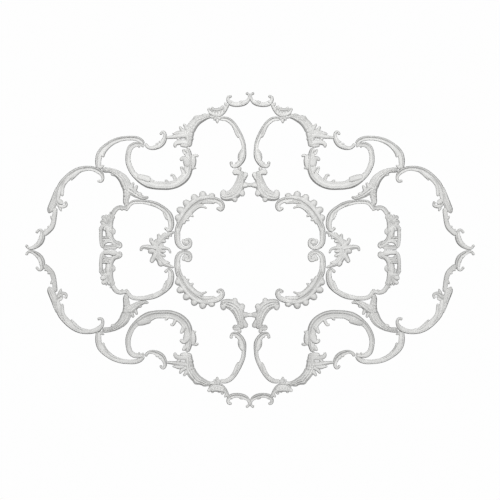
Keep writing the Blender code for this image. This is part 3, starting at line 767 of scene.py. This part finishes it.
casting("trellis_column", [
    band([(979, 328, 34), (1010, 337, 32), (1040, 340, 34), (1066, 331, 36),
          (1088, 306, 38), (1102, 276, 34)]),
    leaf((1030, 336), (1018, 314), 24), leaf((990, 332), (982, 312), 26),
    band([(1108, 172, 38), (1095, 148, 44), (1104, 124, 34)]),
    band([(1106, 284, 30), (1098, 262, 38), (1103, 242, 26)]),
    band([(1106, 292, 30), (1105, 262, 34), (1109, 225, 32), (1111, 190, 30),
          (1107, 150, 38), (1110, 112, 32), (1102, 84, 36), (1084, 58, 44),
          (1054, 38, 48), (1036, 36, 34)], bead="right"),
    band([(1086, 58, 40), (1052, 56, 30), (1033, 44, 26), (1036, 26, 26),
          (1056, 22, 22)], bead="right", beaded=1.6),
    band([(1110, 296, 26), (1124, 296, 28, 1.1)]),
    band([(1136, 266, 40, 0.55), (1142, 228, 66, 0.55), (1144, 192, 72, 0.55),
          (1134, 150, 48, 0.55), (1132, 100, 50, 0.55)], beaded=0.0),
    leaf((1130, 192), (1127, 288), 36), leaf((1142, 192), (1150, 286), 44),
    band([(1140, 220, 34), (1162, 256, 40), (1190, 262, 28, 1.2)]),
    band([(1146, 196, 40), (1168, 222, 46), (1198, 220, 34, 1.1)]),
    band([(1112, 192, 24), (1150, 197, 30), (1184, 192, 24)]),
    band([(1166, 204, 34), (1186, 178, 34), (1192, 142, 30), (1192, 108, 30),
          (1188, 70, 32), (1182, 40, 34), (1170, 16, 26)], bead="right",
         lobes=[(1210, 170, 24)]),
    leaf((1139, 190), (1139, 120), 44), leaf((1117, 176), (1113, 128), 26),
    leaf((1158, 186), (1168, 148), 28),
    band([(1106, 94, 34, 0.8), (1150, 92, 40, 0.8), (1190, 90, 36, 0.8)], strands=1,
         strand_depth=0.2),
    band([(1120, 104, 26), (1126, 86, 30, 1.2)]),
    band([(1146, 106, 24), (1156, 88, 28, 1.2)]),
    band([(1096, 64, 30), (1124, 69, 24), (1152, 65, 28), (1172, 46, 28),
          (1180, 20, 28)], bead="right", beaded=1.6),
    band([(1060, 24, 40), (1090, 26, 48), (1120, 22, 36), (1150, 20, 38),
          (1180, 20, 34)])], garland_plaster, quarters, stops="y", beaded=0.6)

# The ceiling behind the castings, a plain white plane that is part of the studio. Its
# upper face is clear, so that the flat backs show from above.

CEILING_REACH = 10.0
CEILING_GAP = 0.0006
CEILING_GLOW = 0.99

ceiling_mesh = bpy.data.meshes.new("ceiling")
ceiling_mesh.from_pydata([(-CEILING_REACH, -CEILING_REACH, CEILING_GAP),
                          (-CEILING_REACH, CEILING_REACH, CEILING_GAP),
                          (CEILING_REACH, CEILING_REACH, CEILING_GAP),
                          (CEILING_REACH, -CEILING_REACH, CEILING_GAP)], [],
                         [(0, 1, 2, 3)])
ceiling = bpy.data.objects.new("ceiling", ceiling_mesh)
scene.collection.objects.link(ceiling)
ceiling_white = bpy.data.materials.new("ceiling_white")
ceiling_white.use_nodes = True
ceiling_tree = ceiling_white.node_tree
ceiling_tree.nodes.clear()
glow = add_node(ceiling_tree, "ShaderNodeEmission",
                {"Color": (1, 1, 1, 1), "Strength": CEILING_GLOW})
clear = add_node(ceiling_tree, "ShaderNodeBsdfTransparent")
side = add_node(ceiling_tree, "ShaderNodeNewGeometry")
seen = add_node(ceiling_tree, "ShaderNodeMixShader", {
    0: side.outputs["Backfacing"], 1: glow.outputs[0], 2: clear.outputs[0]})
add_node(ceiling_tree, "ShaderNodeOutputMaterial", {"Surface": seen.outputs[0]})
ceiling_mesh.materials.append(ceiling_white)
ceiling.visible_diffuse = False
ceiling.visible_glossy = False
ceiling.visible_shadow = False

# Soft studio lights: a key light from one side below, a fill light from the other, and
# one above for the backs. The camera is straight under the middle, twelve metres down,
# and its frame is four metres wide at the ceiling. Its sensor is in millimetres.

CAMERA_DROP = 12.0
FRAME_WIDTH = 4.0
SENSOR_WIDTH = 36.0
FARTHEST_SEEN = 100.0
STUDIO_GLOW = 0.2


def soft_light(name, place, size, power):
    """A round soft light that faces the middle of the ceiling."""
    light = bpy.data.lights.new(name, "AREA")
    light.shape = "DISK"
    light.size = size
    light.energy = power
    lamp = bpy.data.objects.new(name, light)
    lamp.location = place
    lamp.rotation_euler = (-Vector(place)).to_track_quat("-Z", "Y").to_euler()
    scene.collection.objects.link(lamp)


soft_light("key", place=(0.8, 5.5, -7.0), size=2.0, power=600)
soft_light("fill", place=(-1.5, -1.5, -9.0), size=5.0, power=460)
soft_light("back", place=(0.0, 0.0, 6.0), size=6.0, power=200)
world = bpy.data.worlds.new("studio")
world.use_nodes = True
background = world.node_tree.nodes["Background"].inputs
background["Color"].default_value = (1, 1, 1, 1)
background["Strength"].default_value = STUDIO_GLOW
scene.world = world
scene.view_settings.view_transform = "Standard"

lens = bpy.data.cameras.new("camera")
lens.sensor_width = SENSOR_WIDTH
lens.lens = SENSOR_WIDTH * CAMERA_DROP / FRAME_WIDTH
lens.clip_end = FARTHEST_SEEN
camera = bpy.data.objects.new("camera", lens)
camera.location = (0, 0, -CAMERA_DROP)
camera.rotation_euler = (math.pi, 0, math.pi)
scene.collection.objects.link(camera)
scene.camera = camera
